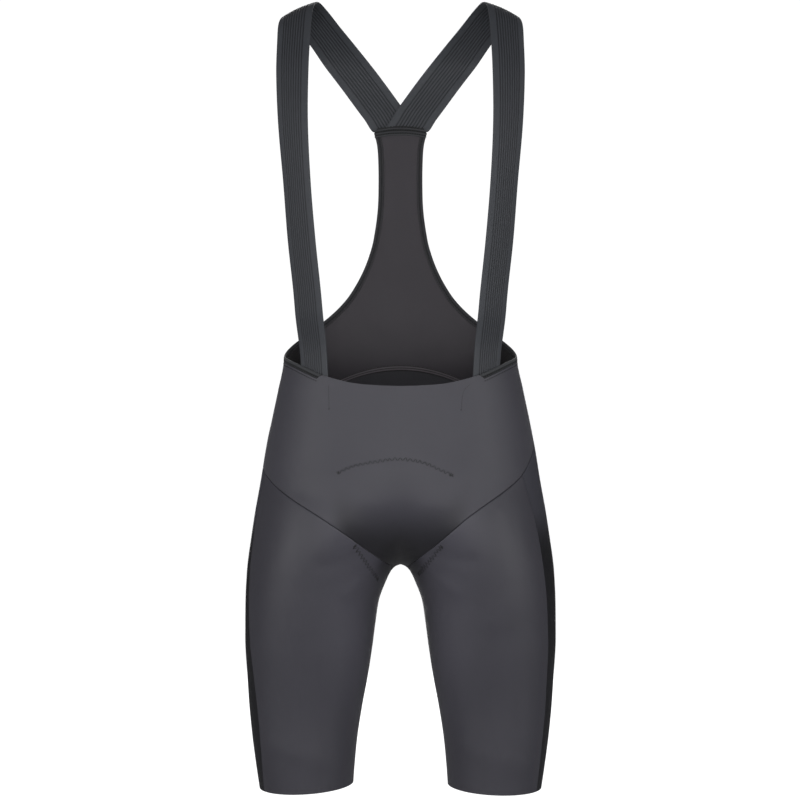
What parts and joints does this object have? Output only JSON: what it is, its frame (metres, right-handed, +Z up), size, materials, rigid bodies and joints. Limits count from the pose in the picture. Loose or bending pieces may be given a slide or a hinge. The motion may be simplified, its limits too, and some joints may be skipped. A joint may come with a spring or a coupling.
{
  "type": "cycling bib shorts",
  "caption": "Worn cycling bib shorts in stretch knit, held filled out and empty, with ribbed elastic braces, a narrow keyhole back bib and close legs to above the knee.",
  "frame": {"origin": "between the two braces, at the height of the top of the shoulders they rest on", "axes": "+Z up along the standing wearer, +Y towards the wearer's back, +X towards the wearer's left"},
  "size_m": [0.3724, 0.2386, 0.9412],
  "materials": {
    "panel_knit": "satin charcoal stretch knit",
    "side_knit": "matt near-black stretch knit",
    "bib_knit": "matt light knit",
    "edge_tape": "matt folded elastic tape",
    "brace_elastic": "matt ribbed elastic"
  },
  "bodies": {
    "root": {"front_panel": "panel_knit", "seat_panel": "panel_knit", "leg_front_left": "panel_knit", "leg_front_right": "panel_knit", "leg_rear_left": "side_knit", "leg_rear_right": "side_knit", "back_bib": "bib_knit", "edge_binding_left": "edge_tape", "edge_binding_right": "edge_tape", "strap_left": "brace_elastic", "strap_right": "brace_elastic"}
  },
  "joints": []
}
